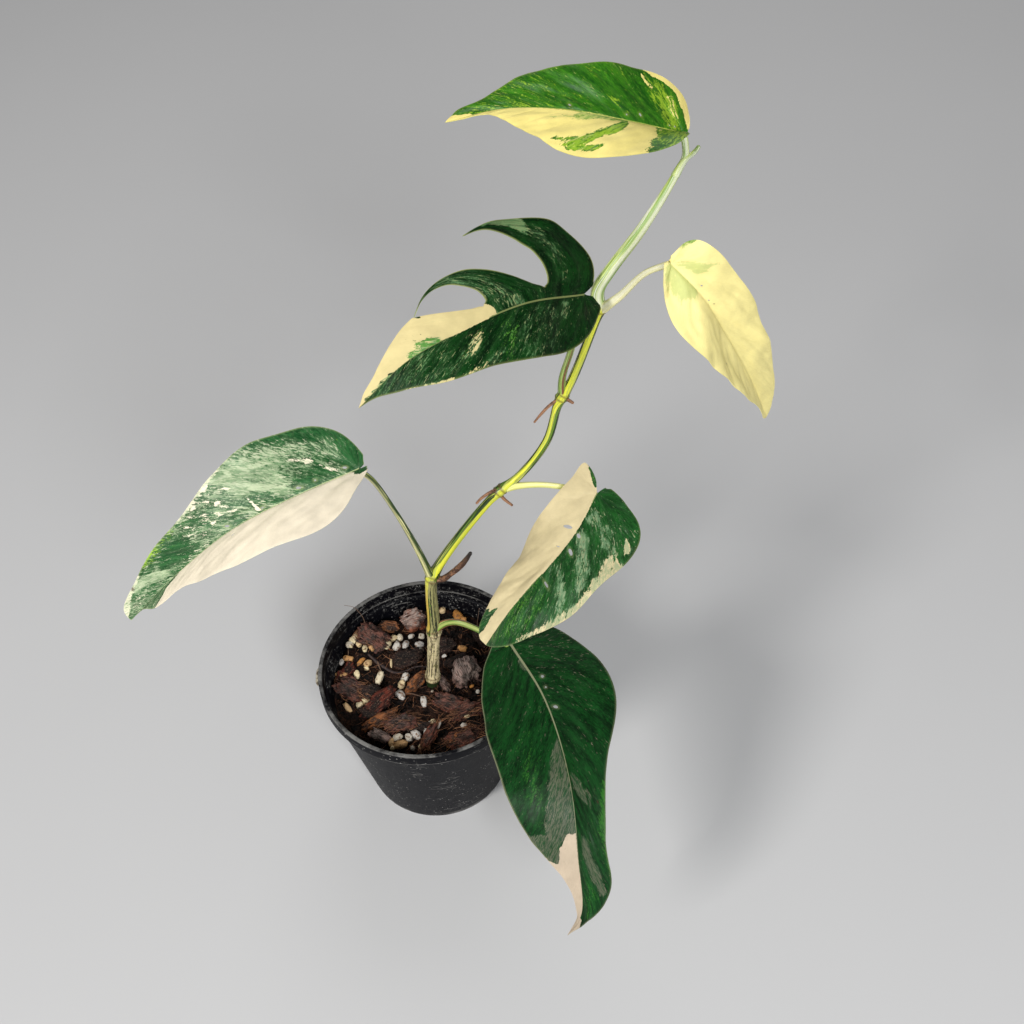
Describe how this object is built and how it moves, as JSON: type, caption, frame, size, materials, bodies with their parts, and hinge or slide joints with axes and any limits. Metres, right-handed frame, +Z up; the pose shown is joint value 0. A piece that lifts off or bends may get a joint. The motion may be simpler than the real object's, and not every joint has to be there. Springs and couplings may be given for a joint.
{
  "type": "potted epipremnum pinnatum",
  "caption": "Young variegated climbing aroid with large waved leaves, one split into lobes, leaning from a tapered black nursery pot filled with bark and pumice mix.",
  "frame": {"origin": "centre of the pot's base, on the surface that it stands on", "axes": "+Z up, the vine leans towards +X, the lowest leaf hangs over the rim towards -Y"},
  "size_m": [0.3087, 0.2239, 0.4108],
  "materials": {
    "pot_plastic": "matte black, lightly scuffed and dusted with minerals",
    "potting_mix": "damp bark, husk and peat with pale pumice",
    "stem": "corky tan at the foot, striped green and yellow above",
    "stalk": "smooth pale green with cream stripes",
    "leaf_light": "satin, bright green marbled with cream",
    "leaf_dark": "satin, dark green marbled with grey-green and cream",
    "leaf_cream": "satin, cream with green streaks"
  },
  "bodies": {
    "root": {"nursery_pot": "pot_plastic", "potting_mix": "potting_mix", "vine_stem": "stem", "stalk_top": "stalk", "stalk_split": "stalk", "stalk_cream": "stalk", "stalk_left": "stalk", "stalk_folded": "stalk", "stalk_hanging": "stalk", "leaf_top": "leaf_light", "leaf_split": "leaf_dark", "leaf_cream": "leaf_cream", "leaf_left": "leaf_dark", "leaf_folded": "leaf_cream", "leaf_hanging": "leaf_dark"}
  },
  "joints": []
}
